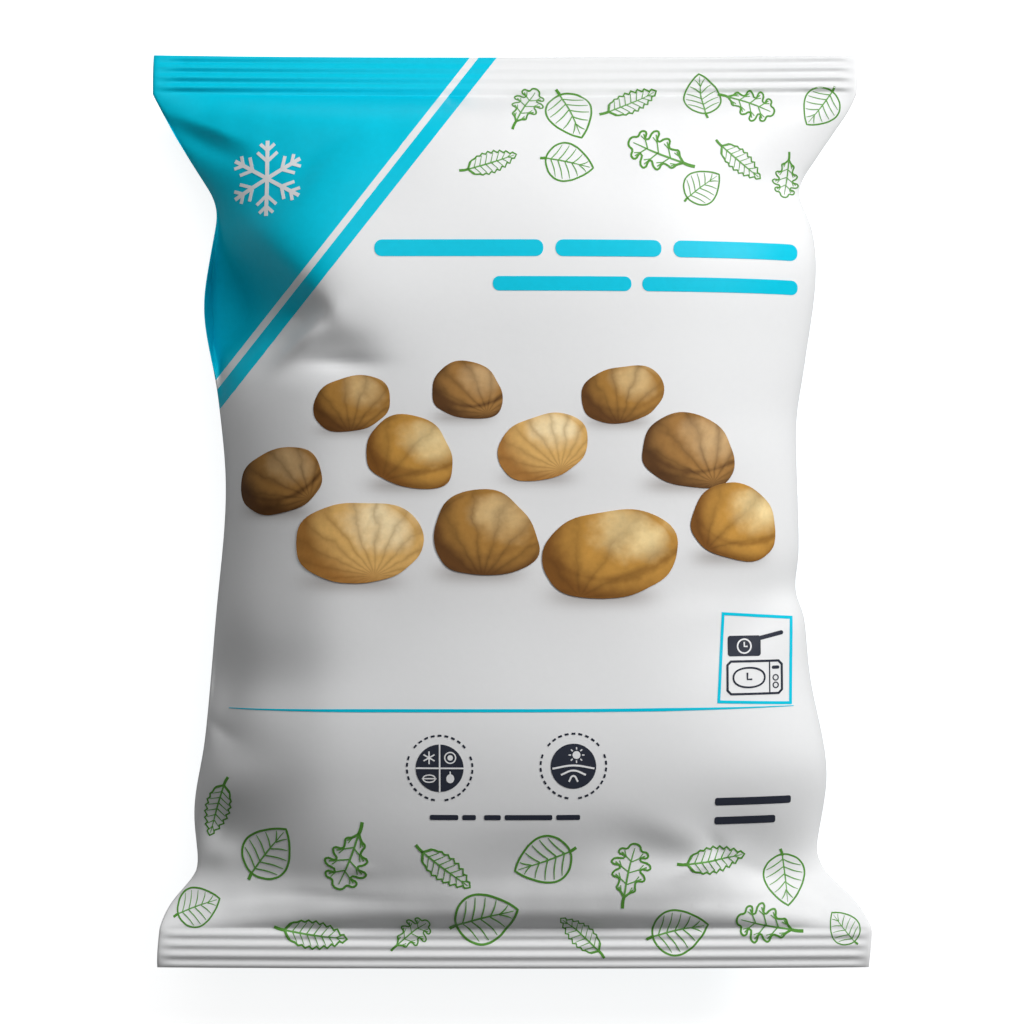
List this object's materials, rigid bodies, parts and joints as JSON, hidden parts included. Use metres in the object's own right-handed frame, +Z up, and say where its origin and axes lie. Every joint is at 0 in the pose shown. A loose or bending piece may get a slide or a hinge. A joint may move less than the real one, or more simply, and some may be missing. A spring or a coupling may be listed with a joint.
{
  "type": "frozen food pillow bag",
  "caption": "Filled pillow bag of frozen peeled chestnuts in white printed film, lying on its back, with flat crimped seals at head and foot and a folded fin seal behind.",
  "frame": {"origin": "on the floor, under the middle of the lying bag", "axes": "+X across the bag to the right of its print, +Y along the bag to the head seal, +Z up out of the printed face"},
  "size_m": [0.244, 0.31, 0.0686],
  "materials": {
    "film": "white printed polyethylene film with a satin shine",
    "cyan_ink": "cyan ink printed on the film",
    "green_ink": "green ink printed on the film",
    "dark_ink": "blue-black ink printed on the film",
    "picture_ink": "golden brown inks of the printed nuts"
  },
  "bodies": {
    "root": {"pillow_pack": "film"}
  },
  "joints": []
}
